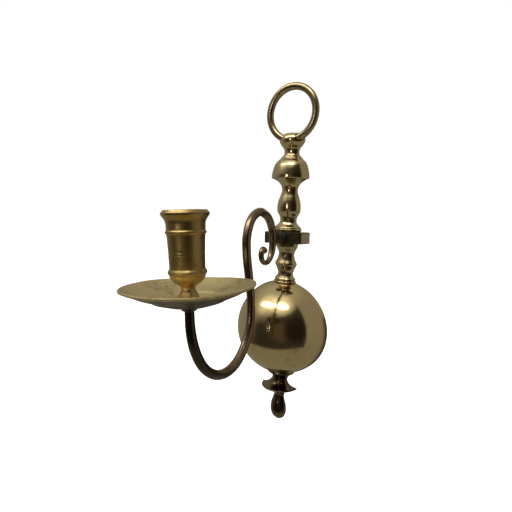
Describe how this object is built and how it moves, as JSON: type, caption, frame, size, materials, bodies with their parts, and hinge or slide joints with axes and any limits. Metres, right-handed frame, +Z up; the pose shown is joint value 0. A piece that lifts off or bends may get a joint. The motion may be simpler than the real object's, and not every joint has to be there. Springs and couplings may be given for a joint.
{
  "type": "wall sconce candle holder",
  "caption": "Half-round turned brass wall sconce hung by a ring, with a flat-backed ball, a scroll arm, a wide drip pan and a candle cup.",
  "frame": {"origin": "middle of the arm block's flat back, on the wall plane", "axes": "+Z up, +Y into the wall, so the sconce stands out towards -Y, +X to the right seen from the wall's front"},
  "size_m": [0.0958, 0.1976, 0.3385],
  "materials": {
    "polished_brass": "polished, aged, finely scratched",
    "satin_brass": "satin, lathe-turned",
    "pale_brass": "dull, scuffed",
    "dark_bronze": "dark patina, rubbed bright on the high spots",
    "dark_iron": "rough, blackened"
  },
  "bodies": {
    "sconce": {"top_knob": "polished_brass", "bell_cap": "polished_brass", "upper_baluster": "polished_brass", "collar_vase": "polished_brass", "lower_baluster": "polished_brass", "ball_seat_ring": "polished_brass", "half_ball": "polished_brass", "ball_foot_ring": "polished_brass", "drop_finial": "dark_bronze", "arm_block": "dark_iron", "tie_rod": "dark_iron", "ball_nut": "dark_iron", "arm_tongue": "dark_bronze", "tongue_pin": "dark_iron", "arm_rod": "dark_bronze", "pan_collar": "dark_bronze", "cup_stud": "dark_iron", "drip_pan": "pale_brass"},
    "ring": {"hanging_ring": "polished_brass"},
    "cup": {"candle_cup": "satin_brass"}
  },
  "joints": [
    {"name": "ring_swing", "type": "hinge", "parent": "sconce", "child": "ring", "pos_m": [0.00015, -0.0044, 0.0936], "axis": [0.9981, -0.061, 0], "range_deg": [0, 8]},
    {"name": "cup_turn", "type": "hinge", "parent": "sconce", "child": "cup", "pos_m": [0, -0.153, 0], "axis": [-0.0767, 0, 0.9971], "continuous": true}
  ]
}
